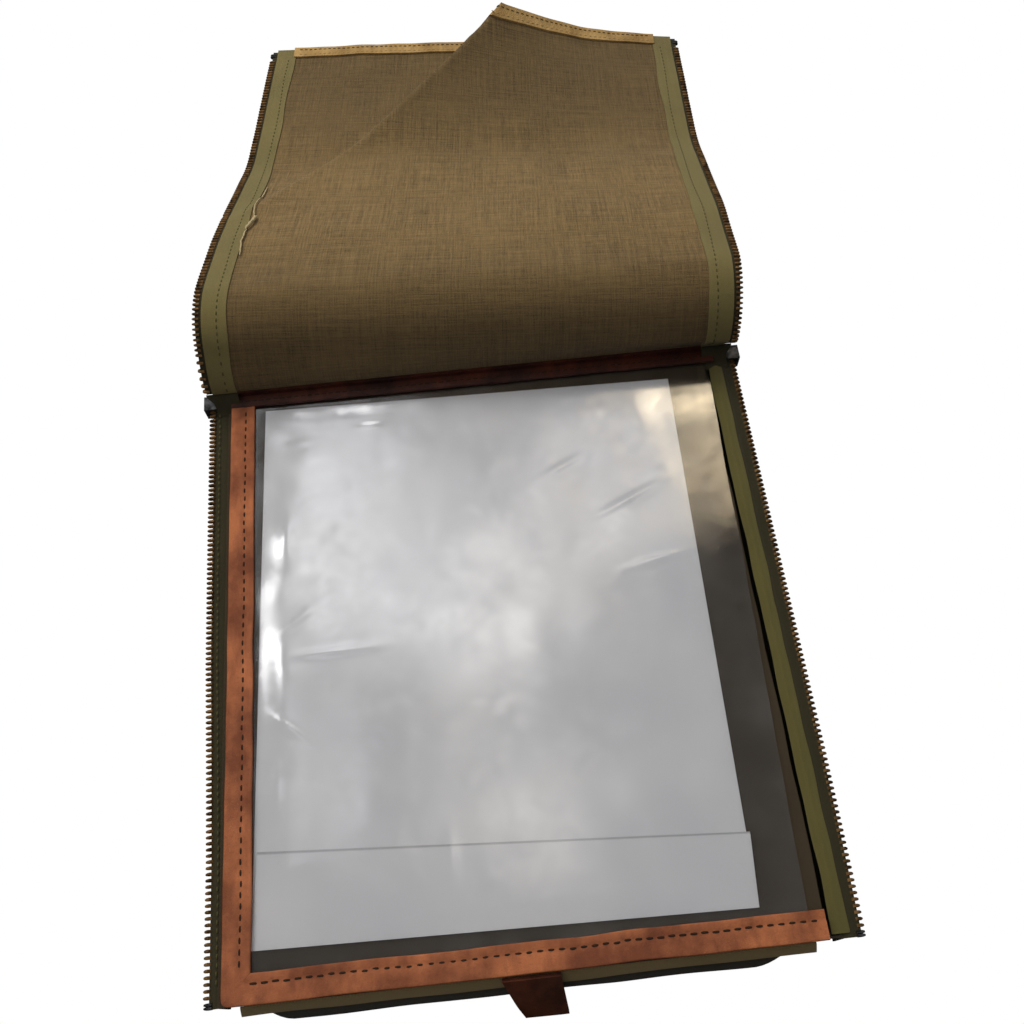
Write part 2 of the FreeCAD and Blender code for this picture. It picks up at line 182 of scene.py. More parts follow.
# %% [markdown]
# ## Finishes
# `Finish` builds one material's nodes. Cloth patterns follow the UV map, which is the cloth's own flat
# size in metres, so the weave keeps its scale where the cloth rolls and creases.

# %%


def srgb(red, green, blue):
    """A colour as it is seen, 0 to 255, turned to the linear values that shaders take."""
    linear = [((c / 255 + 0.055) / 1.055) ** 2.4 if c > 10 else c / 3295 for c in (red, green, blue)]
    return (*linear, 1.0)


class Finish:
    """A material under construction. Each method adds one node and gives back its output."""

    def __init__(self, name, source="UV"):
        self.material = bpy.data.materials.new(name)
        self.material.use_nodes = True
        self.tree = self.material.node_tree
        self.shader = self.tree.nodes["Principled BSDF"]
        self.source = self.tree.nodes.new("ShaderNodeTexCoord").outputs[source]

    def node(self, kind, inputs, output=0, **settings):
        return shader_node(self.tree, kind, inputs, output, **settings)

    def stretched(self, x=1.0, y=1.0, turn=0.0):
        angle = (0.0, 0.0, math.radians(turn))
        return self.node("Mapping", {"Vector": self.source, "Scale": (x, y, 1.0), "Rotation": angle})

    def noise(self, scale, x=1.0, y=1.0, detail=2.0, rough=0.55):
        place = self.stretched(x, y)
        return self.node("TexNoise", {"Vector": place, "Scale": scale, "Detail": detail, "Roughness": rough})

    def wave(self, scale, turn=0.0, bend=0.0):
        inputs = {"Vector": self.stretched(turn=turn), "Scale": scale, "Distortion": bend, "Detail": 1.0}
        return self.node("TexWave", inputs, bands_direction="X")

    def span(self, value, low, high, out_low=0.0, out_high=1.0):
        keys = {"Value": value, "From Min": low, "From Max": high, "To Min": out_low, "To Max": out_high}
        return self.node("MapRange", keys)

    def math(self, operation, a, b=0.0):
        return self.node("Math", {0: a, 1: b}, operation=operation)

    def mix(self, factor, a, b):
        return self.node("Mix", {0: factor, 6: a, 7: b}, 2, data_type="RGBA")

    def bump(self, height, strength, distance):
        return self.node("Bump", {"Height": height, "Strength": strength, "Distance": distance})

    def cloth(self, share, dark, light, patch, blotch, high=0.7):
        """The tone of threads, from dark to light, faded towards light in worn patches."""
        worn = self.span(self.noise(patch, detail=4.0), 0.35, high, 0.0, blotch)
        return self.mix(worn, self.mix(share, dark, light), light)

    def done(self, color, roughness, normal, **constants):
        inputs = {"Base Color": color, "Roughness": roughness, "Normal": normal, **constants}
        for key, value in inputs.items():
            plug(self.tree, self.shader, key.replace("_", " "), value)
        return self.material


def linen(name, dark, light, painted_shade, fineness=2300.0):
    """Plain weave with slubs: threads that thicken and lighten along their length, both ways, with painted
    shade towards both ends of its length.
    """
    made = Finish(name)
    warp = made.noise(fineness, y=0.06)
    weft = made.noise(fineness, x=0.06)
    grain = made.noise(fineness * 0.7)
    slubs = made.math("ADD", made.noise(fineness * 0.5, y=0.02), made.noise(fineness * 0.5, x=0.02))
    threads = made.math("ADD", made.math("ADD", warp, weft), made.math("ADD", grain, slubs))
    share = made.span(threads, 1.95, 3.05)
    cloth_tone = made.cloth(share, dark, light, patch=16.0, blotch=0.3)
    # painted shade: darker towards both ends of its length, given by the cloth's own V
    length = made.node("SeparateXYZ", {0: made.source}, 1)
    near, far = (
        made.node("MapRange", {"Value": length, "From Min": unshaded, "From Max": shaded, "To Max": most},
                  interpolation_type="SMOOTHSTEP")
        for unshaded, shaded, most in ((0.10, 0.02, 0.5), (0.13, 0.25, 0.42))
    )
    # the painted shade colour is laid over both ends here
    cloth_tone = made.mix(made.math("ADD", near, far), cloth_tone, painted_shade)
    height = made.math("ADD", share, made.noise(fineness * 0.8, detail=1.0))
    return made.done(cloth_tone, 0.92, made.bump(height, 0.5, 0.0004), Sheen_Weight=0.08)


def twill(name, dark, light, pitch):
    """Diagonal ribs broken by the threads that cross them."""
    made = Finish(name)
    ribs = made.wave(pitch, turn=45.0, bend=0.6)
    fibre = made.noise(1800.0, detail=3.0)
    share = made.span(made.math("MULTIPLY", ribs, made.math("ADD", fibre, 0.45)), 0.1, 0.9)
    cloth_tone = made.cloth(share, dark, light, patch=22.0, blotch=0.4, high=0.72)
    return made.done(cloth_tone, 0.93, made.bump(share, 0.5, 0.0004), Sheen_Weight=0.08)


def herringbone(name, dark, light):
    """Woven tape: ribs that slope one way, then the other, in narrow lengthwise bands."""
    made = Finish(name)
    left = made.wave(900.0, turn=45.0)
    right = made.wave(900.0, turn=-45.0)
    bands = made.math("GREATER_THAN", made.wave(85.0), 0.5)
    ribs = made.math("ADD", made.math("MULTIPLY", left, bands),
                     made.math("MULTIPLY", right, made.math("SUBTRACT", 1.0, bands)))
    fibre = made.noise(2200.0, detail=3.0)
    share = made.span(made.math("ADD", ribs, fibre), 0.3, 1.4)
    cloth_tone = made.cloth(share, dark, light, patch=30.0, blotch=0.4)
    return made.done(cloth_tone, 0.9, made.bump(share, 0.5, 0.0003), Sheen_Weight=0.1)


def leather(name, dark, light, roughness=0.5, patches=0.8, grain=0.4):
    """Smooth hide: pores, faint wrinkles, and patches darkened by handling."""
    made = Finish(name, "Object")
    patch = made.noise(38.0, detail=4.0, rough=0.6)
    streak = made.noise(170.0, y=0.3, detail=3.0)
    pores = made.node("TexVoronoi", {"Vector": made.stretched(), "Scale": 1500.0})
    fleck = made.noise(900.0)
    tone = made.mix(made.span(patch, 0.36, 0.64, 0.0, patches), light, dark)
    tone = made.mix(made.span(streak, 0.45, 0.75, 0.0, 0.55), tone, dark)
    tone = made.mix(made.span(fleck, 0.55, 0.8, 0.0, 0.35), tone, dark)
    wrinkle = made.noise(420.0, y=0.5, detail=3.0)
    height = made.math("ADD", made.math("MULTIPLY", pores, 0.5), wrinkle)
    shine = made.span(patch, 0.3, 0.7, roughness - 0.08, roughness + 0.15)
    return made.done(tone, shine, made.bump(height, grain, 0.0005))


def metal(name, dark, light, roughness=0.38, metallic=0.85):
    """Old plated metal, tarnished darker in random patches, with fine scratches."""
    made = Finish(name, "Object")
    tarnish = made.noise(260.0, detail=4.0)
    scratch = made.noise(2600.0, y=0.2)
    tone = made.mix(made.span(tarnish, 0.35, 0.65), dark, light)
    shine = made.span(scratch, 0.3, 0.7, roughness - 0.1, roughness + 0.15)
    return made.done(tone, shine, made.bump(scratch, 0.2, 0.0002), Metallic=metallic)


def thread(name, dark, light):
    """Sewing thread with a little fuzz."""
    made = Finish(name, "Object")
    fibre = made.noise(1500.0, detail=3.0)
    return made.done(made.mix(fibre, dark, light), 0.85, made.bump(fibre, 0.4, 0.0003))


def vinyl(name):
    """Clear film. Its mirror-like skin is the opaque share, and the rest lets the pocket show through."""
    made = Finish(name)
    crease = made.noise(16.0, detail=3.0, rough=0.5)
    haze = made.span(made.noise(34.0, detail=3.0), 0.35, 0.7, 0.08, 0.2)
    normal = made.bump(crease, 0.35, 0.004)
    return made.done(srgb(250, 250, 252), haze, normal, Metallic=1.0, Alpha=0.16)


def writing_paper(name):
    """Plain paper: faint fibre, a slightly uneven white, and a painted shadow line where its folded end
    stops.
    """
    made = Finish(name)
    fibre = made.noise(900.0, detail=3.0)
    cloud = made.noise(14.0, detail=3.0)
    tone = made.mix(made.span(cloud, 0.3, 0.7), srgb(222, 224, 230), srgb(236, 236, 238))
    # painted shadow: a thin grey line along the edge of the folded end
    along = made.node("SeparateXYZ", {"Vector": made.source}, output=1)
    tone = made.mix(made.span(along, 0.2958, 0.2964, 0.0, 0.5), tone, srgb(128, 130, 136))
    return made.done(tone, 0.8, made.bump(fibre, 0.1, 0.0002))


CANVAS = twill("canvas", srgb(30, 27, 20), srgb(66, 58, 42), 620.0)
# the lining's third colour is painted shade, laid towards both ends of its length
LINING = linen("lining", srgb(66, 52, 29), srgb(150, 123, 78), srgb(58, 45, 27))
FLAP_CANVAS = twill("flap_canvas", srgb(44, 38, 26), srgb(92, 80, 56), 560.0)
TWILL = twill("twill", srgb(38, 31, 21), srgb(82, 69, 50), 820.0)
BAND = twill("khaki_band", srgb(92, 78, 52), srgb(150, 128, 88), 700.0)
ZIP_TAPE = herringbone("zip_tape", srgb(27, 25, 13), srgb(62, 56, 32))
FACING = herringbone("facing_tape", srgb(77, 70, 38), srgb(136, 123, 75))
CASE_FACING = herringbone("case_facing_tape", srgb(56, 52, 24), srgb(110, 102, 54))
TAN = leather("tan_leather", srgb(104, 50, 26), srgb(184, 108, 64))
DARK_HIDE = leather("dark_leather", srgb(30, 12, 8), srgb(84, 38, 24), 0.45)
TAB_HIDE = leather("tab_leather", srgb(44, 20, 13), srgb(92, 48, 30), 0.5)
SUEDE = leather("suede", srgb(122, 92, 50), srgb(186, 152, 96), 0.85, 0.6, 0.8)
BRASS = metal("zip_brass", srgb(84, 62, 38), srgb(182, 140, 90), 0.42, 0.55)
STEEL = metal("slider_metal", srgb(60, 60, 62), srgb(140, 140, 142))
STITCH = thread("dark_thread", srgb(30, 20, 12), srgb(66, 44, 26))
OLIVE_STITCH = thread("olive_thread", srgb(58, 56, 30), srgb(92, 88, 50))
PALE_STITCH = thread("pale_thread", srgb(140, 112, 66), srgb(196, 164, 110))
CREAM = thread("cream_thread", srgb(146, 128, 90), srgb(206, 190, 150))
PAPER = writing_paper("paper")
VINYL = vinyl("clear_vinyl")

# %% [markdown]
# ## Making pieces
# Most pieces are a leaf: a grid of points on both faces of a thin sheet, closed round its rim. Straps
# are one section carried along a line, and stitches are short rounded bars.

# %%
STRAP_LENGTH = 300.0  # for the straps' own UV map


def ripple(x, y, size, seed=0.0):
    """Smooth noise from -1 to 1 over the plane, with humps about size millimetres across."""
    return noise.noise(Vector((x / size, y / size, seed)))


def ease(value):
    """0 to 1 with flat ends."""
    value = min(max(value, 0.0), 1.0)
    return value * value * (3 - 2 * value)


def piece(name, points, faces, material, slot, uvs=None, crease=50.0):
    """A mesh object from points in millimetres."""
    mesh = bpy.data.meshes.new(name)
    mesh.from_pydata([tuple(point * MM) for point in points], [], faces)
    mesh.materials.append(material)
    if uvs:
        layer = mesh.uv_layers.new(name="cloth")
        for loop in mesh.loops:
            layer.data[loop.index].uv = (uvs[loop.vertex_index][0] * MM, uvs[loop.vertex_index][1] * MM)
    for polygon in mesh.polygons:
        polygon.use_smooth = True
    mesh.set_sharp_from_angle(angle=math.radians(crease))
    mesh.validate()
    made = bpy.data.objects.new(name, mesh)
    scene.collection.objects.link(made)
    return made


def leaf_parts(at, columns, rows, low, high, flat, base=0):
    """Points, faces and UVs of a thin closed sheet. at(s, t, n) is a point, with s and t from 0 to 1."""
    wide = columns + 1
    points, uvs, faces = [], [], []
    for level in (high, low):
        for row in range(rows + 1):
            for column in range(wide):
                s, t = column / columns, row / rows
                points.append(at(s, t, level))
                uvs.append(flat(s, t))
    other = wide * (rows + 1)
    along, across = points[1] - points[0], points[wide] - points[0]
    turned = along.cross(across).dot(points[0] - points[other]) < 0
    for row in range(rows):
        for column in range(columns):
            a = row * wide + column
            face = [a, a + 1, a + 1 + wide, a + wide]
            back = [corner + other for corner in reversed(face)]
            faces += [face[::-1], back[::-1]] if turned else [face, back]
    rim = list(range(wide))
    rim += [row * wide + columns for row in range(1, rows + 1)]
    rim += [rows * wide + column for column in range(columns - 1, -1, -1)]
    rim += [row * wide for row in range(rows - 1, 0, -1)]
    for index, a in enumerate(rim):
        b = rim[(index + 1) % len(rim)]
        side = [b, a, a + other, b + other]
        faces.append(side[::-1] if turned else side)
    return points, [[corner + base for corner in face] for face in faces], uvs


def leaf(name, at, columns, rows, low, high, material, slot, flat):
    points, faces, uvs = leaf_parts(at, columns, rows, low, high, flat)
    return piece(name, points, faces, material, slot, uvs)


def tube_faces(first, rings, sides):
    """The faces of a closed tube whose points go ring by ring, from index first."""
    faces = []
    for ring in range(rings - 1):
        for corner in range(sides):
            a, b = first + ring * sides + corner, first + ring * sides + (corner + 1) % sides
            faces.append([a, b, b + sides, a + sides])
    faces.append([first + corner for corner in range(sides)][::-1])
    faces.append([first + (rings - 1) * sides + corner for corner in range(sides)])
    return faces


def strap(name, section, place, stations, material, slot, crease=40.0):
    """A closed section, a list of (a, b), carried along place(t, a, b) for t from 0 to 1."""
    points, uvs = [], []
    for station in range(stations + 1):
        t = station / stations
        for a, b in section:
            points.append(place(t, a, b))
            uvs.append((a + b, t * STRAP_LENGTH))
    return piece(name, points, tube_faces(0, stations + 1, len(section)), material, slot, uvs, crease)


def rounded(a_low, a_high, b_low, b_high, radius, steps=3):
    """A rectangle's outline with round corners, counter-clockwise."""
    outline = []
    for (a, b), start in (((a_high - radius, b_high - radius), 0), ((a_low + radius, b_high - radius), 90),
                          ((a_low + radius, b_low + radius), 180), ((a_high - radius, b_low + radius), 270)):
        for step in range(steps + 1):
            angle = math.radians(start + 90 * step / steps)
            outline.append((a + radius * math.cos(angle), b + radius * math.sin(angle)))
    return outline


def stitches(name, places, length, width, material, slot, dip=0.0):
    """Short bars, one for each (middle, direction, up)."""
    points, faces = [], []
    rings = ((-0.5, 0.35, -0.9), (-0.36, 0.85, -0.2), (0.0, 1.0, 0.0), (0.36, 0.85, -0.2), (0.5, 0.35, -0.9))
    sides = 6
    for middle, direction, up in places:
        side = direction.cross(up).normalized()
        first = len(points)
        for along, swell, sink in rings:
            centre = middle + direction * (along * length) + up * (sink * dip)
            for corner in range(sides):
                angle = math.tau * corner / sides
                reach = width / 2 * swell
                points.append(centre + side * (math.cos(angle) * reach)
                              + up * (math.sin(angle) * reach * 0.7))
        faces += tube_faces(first, len(rings), sides)
    return piece(name, points, faces, material, slot, None, 60.0)


def seam_line(at, start, end, pitch, jitter=0.0, seed=0.0):
    """Places for stitches along at(t) -> (point, up), from t = start to t = end millimetres."""
    places = []
    count = int((end - start) / pitch)
    for index in range(count):
        t = start + (index + 0.5) * (end - start) / count
        here, up = at(t)
        ahead = at(t + 0.5)[0]
        direction = (ahead - here).normalized()
        side = direction.cross(up).normalized()
        here = here + side * (jitter * ripple(t, 0.0, pitch * 1.3, seed))
        places.append((here, direction, up))
    return places


def tooth_parts(places):
    """Zip teeth, one for each (root, outward, along, up): a block on the tape, narrower at its head."""
    rings = ((0.3, 0.62, 1.1), (1.0, 0.70, 1.2), (2.6, 0.66, 1.15), (3.3, 0.5, 0.95), (3.7, 0.34, 0.6))
    points, faces = [], []
    corners = ((-1, -0.55), (-0.6, -1), (0.6, -1), (1, -0.55), (1, 0.55), (0.6, 1), (-0.6, 1), (-1, 0.55))
    sides = len(corners)
    for root, outward, along, up in places:
        first = len(points)
        for reach, wide, tall in rings:
            for across, rise in corners:
                points.append(root + outward * reach + along * (across * wide) + up * (rise * tall))
        faces += tube_faces(first, len(rings), sides)
    return points, faces


# %% [markdown]
# ## The flap
# The flap is one length of cloth. `flap_point` carries a point of the flat cloth to where it lies: up
# from the seam, over the roll, down to the surface behind, and over the long crease that runs from the
# left edge to a peak at the far end. Every layer is made on this one surface.

# %%
HINGE = Vector((-1.0, 143.5, 26.5))
SKEW = math.atan(0.042)
ACROSS = Vector((math.cos(SKEW), -math.sin(SKEW), 0))
BEHIND = Vector((math.sin(SKEW), math.cos(SKEW), 0))
UPWARD = Vector((0, 0, 1))
CLOTH_END = 284.0
FLAP_LENGTH = 292.0
COVER_EDGE = 131.0
FACING_INNER, FACING_OUTER = 121.0, 133.4
ZIP_TAPE_INNER, ZIP_TAPE_OUTER = 131.1, 136.6
TEETH_ROOT = 134.3
SEAM_END, ROOT_BEND, ROLL_START, PANEL_START, LAST_BEND = 14.0, 20.0, 34.0, 60.0, 184.0
SEWN = 16.0  # up to here the cloth stands upright, held by the seam
SEWN_RISE = 0.98
# the cloth's slope, in degrees, at distances from the seam
SLOPES = ((0, 80), (10, 80), (58, -15), (92, -15), (112, -22), (172, -22), (196, -6), (320, -5))
PROFILE_STEP = 0.5


def slope_at(distance):
    for (start, first), (end, last) in zip(SLOPES, SLOPES[1:]):
        if distance <= end:
            return math.radians(first + (last - first) * max(0.0, (distance - start) / (end - start)))
    return math.radians(SLOPES[-1][1])


PROFILE = [(0.0, 0.0)]
for step in range(int(320 / PROFILE_STEP)):
    angle = slope_at((step + 0.5) * PROFILE_STEP)
    run, rise = PROFILE[-1]
    PROFILE.append((run + math.cos(angle) * PROFILE_STEP, rise + math.sin(angle) * PROFILE_STEP))


def profile_at(distance):
    """Run and rise from the seam, and the slope there."""
    if distance < 0:
        angle = slope_at(0)
        return math.cos(angle) * distance, math.sin(angle) * distance, angle
    place = min(distance / PROFILE_STEP, len(PROFILE) - 1.001)
    index = int(place)
    share = place - index
    (run, rise), (next_run, next_rise) = PROFILE[index], PROFILE[index + 1]
    return run + (next_run - run) * share, rise + (next_rise - rise) * share, slope_at(distance)


RIDGE_START, RIDGE_SPAN, RIDGE_HEIGHT = 106.0, 186.0, 26.0
CREST_FROM, CREST_RUN = -134.0, 154.0
LEFT_REACH, LEFT_REACH_GROWTH = 9.0, 10.0
RIDGE_RIGHT = 140.0
CREST_LIP, CREST_LIP_WIDTH = 0.45, 1.6


def relief(x, s):
    """How far the cloth stands off its smooth profile: the long crease, and soft wrinkles."""
    height = 0.0
    t = (s - RIDGE_START) / RIDGE_SPAN
    if t > 0:
        crest = CREST_FROM + CREST_RUN * min(t, 1.05)
        top = RIDGE_HEIGHT * min(t, 1.05) ** 1.05
        if x < crest:
            reach = LEFT_REACH + LEFT_REACH_GROWTH * t
            height += top * max(0.0, 1 + (x - crest) / reach) ** 0.8
        else:
            reach = RIDGE_RIGHT - crest
            height += top * max(0.0, 1 - (x - crest) / reach) ** 1.9
        height += CREST_LIP * ease(t * 8) * math.exp(-abs(x - crest) / CREST_LIP_WIDTH)
    soft = ease((s - 24) / 40)
    height += soft * 0.9 * ripple(x, s, 46.0, 1.7)
    height += ease((s - 40) / 60) * 0.35 * ripple(x, s * 0.7, 17.0, 4.1)
    near = 1 - ease((s - 10) / 60)
    height += near * ease(s / 12) * 0.8 * ripple(x, s * 0.35, 22.0, 8.3)
    return height


# the far part is drawn together a little by its creases
NARROWING, NARROWING_SPAN = 0.052, 220.0


def flap_point(x, s, n):
    """A point of the flap: x across, s along from the seam, n above the cloth's own middle plane."""
    t = min(max((s - PANEL_START) / NARROWING_SPAN, 0.0), 1.0)
    x_here = x * (1 - NARROWING * t)
    u = x_here * math.cos(SKEW) + s * math.sin(SKEW)
    v = s * math.cos(SKEW) - x * math.sin(SKEW)
    run, rise, angle = profile_at(v)
    normal = UPWARD * math.cos(angle) - BEHIND * math.sin(angle)
    free = HINGE + ACROSS * u + BEHIND * run + UPWARD * rise + normal * (n + relief(x, s))
    if s < SEWN:
        sewn = HINGE + Vector((x, n * -SEWN_RISE, s * SEWN_RISE + n * 0.1))
        return sewn.lerp(free, ease(s / SEWN))
    return free


# where each part of the flap starts and ends along the cloth, the bodies it lies on or between, and its CAD
# nodes
FLAP_PARTS = (
    ("seam", 0.0, SEAM_END, ("case", "flap_root"), "root"),
    ("rise", SEAM_END, ROLL_START, ("flap_root", "flap_roll"), "roll"),
    ("roll", ROLL_START, PANEL_START, ("flap_roll", "flap_panel"), None),
    ("panel", PANEL_START, LAST_BEND, ("flap_panel",), "panel"),
    ("end", LAST_BEND, None, ("flap_end",), "end"),
)
PANEL_PART, END_PART = FLAP_PARTS[3:]


def flap_line(distance, x):
    """How far along the cloth the line across it at that distance is, at x. The seam part ends square."""
    if distance == SEAM_END:
        return distance
    return (distance + x * math.sin(SKEW)) / math.cos(SKEW)


def hold_flap(made, part):
    """A piece of the flap that spans two bodies stays where it was made, on neither body; a piece on one body
    rides on it, with a mesh of its own.
    """
    name, start, end, bodies, _ = part
    if len(bodies) == 2:
        if start == 0.0:
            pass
        else:
            near, far = profile_at(max(start, ROOT_BEND)), profile_at(end)
        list(bodies)
        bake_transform(made)
        return made
    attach(made, bodies[0])
    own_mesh(made)
    return made


def flap_layer(layer, strips, low, high, material, slot, cell, last, wavy):
    """One layer of the flap in its five parts. strips are (from x, to x)."""
    for part in FLAP_PARTS:
        name, start, end, _, node = part
        points, faces, uvs = [], [], []
        for x_low, x_high in strips:
            inner = x_low if abs(x_low) < abs(x_high) else x_high

            def spot(s, t, x_low=x_low, x_high=x_high, inner=inner):
                x = x_low + (x_high - x_low) * s
                from_s = 0.0 if start == 0 else flap_line(start, x)
                to_s = last if end is None else flap_line(end, x)
                along = from_s + (to_s - from_s) * t
                if wavy:
                    share = 1 - abs(x - inner) / abs(x_high - x_low)
                    x += wavy * share * ripple(along, inner, 26.0, 3.3)
                return x, along

            columns = max(2, round((x_high - x_low) / cell))
            rows = max(2, round(((last if end is None else end) - start) / cell))
            more = leaf_parts(lambda s, t, n: flap_point(*spot(s, t), n), columns, rows, low, high,
                              spot, len(points))
            points, faces, uvs = points + more[0], faces + more[1], uvs + more[2]
        made = piece(f"flap_{layer}_at_{name}", points, faces, material, slot, uvs)
        if node:
            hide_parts(f"flap_{node}_{layer}")
        hold_flap(made, part)
        yield made


def part_of(s, x=0.0):
    """Which part of the flap holds a point."""
    for index, (_, _, end, _, _) in enumerate(FLAP_PARTS):
        if end is None or s < flap_line(end, x):
            return index


# layer, strips, lowest and highest n, material, slot, mesh cell, far end, and how far its inner edge wanders
FLAP_LAYERS = (
    ("cover", [(-COVER_EDGE, COVER_EDGE)], -1.4, -0.5, FLAP_CANVAS, "canvas", 3.0, CLOTH_END, 0.0),
    ("lining", [(-COVER_EDGE, COVER_EDGE)], -0.45, 0.3, LINING, "lining", 2.5, CLOTH_END, 0.0),
    ("facing_tapes", [(-FACING_OUTER, -FACING_INNER), (FACING_INNER, FACING_OUTER)], 0.35, 0.95,
     FACING, "facing_tape", 2.0, 290.5, 1.4),
    ("zip_tapes", [(-ZIP_TAPE_OUTER, -ZIP_TAPE_INNER), (ZIP_TAPE_INNER, ZIP_TAPE_OUTER)], -0.4, 0.4,
     ZIP_TAPE, "zip_tape", 2.0, 289.0, 0.0),
)
for layer, *rest in FLAP_LAYERS:
    list(flap_layer(layer, *rest))


BEND_STRIP_LEFT, BEND_STRIP_WIDE, BEND_STRIP_LONG = -98.0, 228.0, 3.8


def bend_strip(s, t, n):
    """A strip between the layers at the last bend, so that no slit opens over the crease there."""
    x = BEND_STRIP_LEFT + BEND_STRIP_WIDE * s
    return flap_point(x, flap_line(LAST_BEND - 1.0, x) + BEND_STRIP_LONG * t, n)


strip_between = leaf("flap_bend_strip", bend_strip, 90, 2, -0.49, -0.46, FLAP_CANVAS, "canvas",
                     lambda s, t: (BEND_STRIP_WIDE * s, LAST_BEND - 1.0 + BEND_STRIP_LONG * t))
hold_flap(strip_between, PANEL_PART)

TOOTH_PITCH = 2.54
ROWS_SORTED_AT = 134.0  # how far out a row is split between the parts


def flap_rows(step, make_places):
    """Things set along both edges of the flap, grouped by the part that they sit on."""
    groups = [[] for _ in FLAP_PARTS]
    for sign in (-1, 1):
        count = int((CLOTH_END - 3) / step)
        for index in range(count):
            s = 2 + index * step
            groups[part_of(s, sign * ROWS_SORTED_AT)].append(make_places(sign, s))
    return groups


def tooth_place(sign, s):
    x = sign * TEETH_ROOT
    root = flap_point(x, s, 0)
    outward = (flap_point(x + sign, s, 0) - root).normalized()
    along = (flap_point(x, s + 1, 0) - root).normalized()
    up = (flap_point(x, s, 1) - root).normalized()
    return root, outward, along, up


flap_teeth, flap_seams = [], []
for part, places in zip(FLAP_PARTS, flap_rows(TOOTH_PITCH, tooth_place)):
    teeth = piece(f"flap_teeth_at_{part[0]}", *tooth_parts(places), BRASS, "zip_brass", None, 35.0)
    if part[4]:
        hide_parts(f"flap_{part[4]}_zip_teeth")
    flap_teeth.append(hold_flap(teeth, part))


def facing_stitch(sign, s):
    x = sign * (125.5 + 0.8 * ripple(s, sign * 9.0, 40.0, 6.0))
    here = flap_point(x, s, 1.0)
    return (here, (flap_point(x, s + 1, 1.0) - here).normalized(),
            (flap_point(x, s, 2.0) - here).normalized())


for part, places in zip(FLAP_PARTS, flap_rows(3.3, facing_stitch)):
    row = stitches(f"flap_stitches_at_{part[0]}", places, 2.3, 0.75, OLIVE_STITCH, "facing_tape", 0.4)
    flap_seams.append(hold_flap(row, part))

# %% [markdown]
# ### A frayed edge
# Along the left facing tape the cloth's selvedge has come away: a cream cord with a knot of fibres.


# %%


def frayed(name, path, radius, part):
    """A thin wandering cord through (x, s, n) points of the flap."""
    points = []
    sides, steps = 6, 10
    stations = []
    for (x, s_here, n), (next_x, next_s, next_n) in zip(path, path[1:]):
        for step in range(steps):
            t = step / steps
            stations.append((x + (next_x - x) * t, s_here + (next_s - s_here) * t, n + (next_n - n) * t))
    stations.append(path[-1])
    for index, (x, s_here, n) in enumerate(stations):
        wander = 0.35 * ripple(s_here, x, 2.3, 7.0)
        middle = flap_point(x + wander, s_here, n)
        side = (flap_point(x + 1, s_here, n) - flap_point(x, s_here, n)).normalized()
        up = (flap_point(x, s_here, n + 1) - flap_point(x, s_here, n)).normalized()
        share = min(1.0, 0.3 + index / 4, 0.3 + (len(stations) - 1 - index) / 4)
        reach = radius * share * (1 + 0.4 * ripple(s_here, 0.0, 1.7, 2.0))
        for corner in range(sides):
            angle = math.tau * corner / sides
            points.append(middle + side * (math.cos(angle) * reach) + up * (math.sin(angle) * reach))
    faces = tube_faces(0, len(stations), sides)
    return hold_flap(piece(name, points, faces, CREAM, "lining", None, 60.0), part)


fray = [
    frayed("frayed_cord", [(-119.2, 151.0, 1.0), (-119.6, 134.0, 1.3), (-120.0, 120.0, 1.6),
                           (-119.0, 113.0, 2.0), (-117.8, 110.0, 2.3)], 0.45, PANEL_PART),
    frayed("frayed_knot", [(-117.4, 112.5, 1.6), (-118.6, 106.5, 2.2), (-121.0, 99.0, 1.8)], 1.0, PANEL_PART),
    frayed("frayed_tail", [(-120.4, 100.0, 1.6), (-121.0, 88.0, 1.5), (-119.6, 76.0, 1.3)], 0.5, PANEL_PART),
]

# %% [markdown]
# ### The leather at the flap's far end
# A leather strip is sewn round the end of the cloth: its napped side faces up, its smooth side is below.

# %%
END_STRIP_START, END_STRIP_HALF = 283.0, 122.0
OUTER_START, OUTER_END, OUTER_HALF = 275.5, FLAP_LENGTH + 0.3, 132.0


def end_strip(s, t, n):
    x = END_STRIP_HALF * (2 * s - 1)
    edge = 0.6 * ripple(x, 3.0, 18.0, 2.2)
    return flap_point(x, END_STRIP_START + edge + (FLAP_LENGTH - END_STRIP_START) * t, n)


upper = leaf("flap_end_strip_upper", end_strip, 122, 5, -0.9, 1.5, SUEDE, "suede",
             lambda s, t: (264 * s, 9 * t))


def end_strip_outer(s, t, n):
    return flap_point(OUTER_HALF * (2 * s - 1), OUTER_START + (OUTER_END - OUTER_START) * t, n)


outer = leaf("flap_end_strip_outer", end_strip_outer, 110, 8, -2.8, -1.5, DARK_HIDE, "dark_leather",
             lambda s, t: (264 * s, 17 * t))
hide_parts("flap_end_strip")
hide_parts("flap_end_strip")


def across_end(along, n):
    def at(t):
        x = -121.0 + t
        here = flap_point(x, along, n)
        return here, (flap_point(x, along, n + 1) - here).normalized()
    return at


end_rows = []
for number, along in enumerate((285.2, 289.6)):
    places = seam_line(across_end(along, 1.6), 2, 240, 3.2, 0.3, along)
    row = stitches(f"flap_end_stitches_{number}", places, 2.2, 0.7, STITCH if number else PALE_STITCH,
                   "suede", 0.4)
    end_rows.append(hold_flap(row, END_PART))
for made in (upper, outer):
    hold_flap(made, END_PART)

stop_places = [tooth_place(sign, CLOTH_END + 0.4 + level * 1.5) for sign in (-1, 1) for level in range(2)]
flap_stops = piece("flap_end_stops", *tooth_parts(stop_places), STEEL, "zip_brass", None, 35.0)
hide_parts("flap_zip_stops")
hold_flap(flap_stops, END_PART)

# %% [markdown]
# ## The case
# Its back, three gussets and spine are one shallow canvas tray. The near gusset bulges out under the
# front trim, with a khaki band where the pocket panel is turned down over it.

# %%
WIDTH_HALF = 128.2
FRONT, SPINE = -146.0, 145.2
WALL_FOOT, WALL_HEIGHT, SPINE_HEIGHT = 1.5, 15.4, 16.2


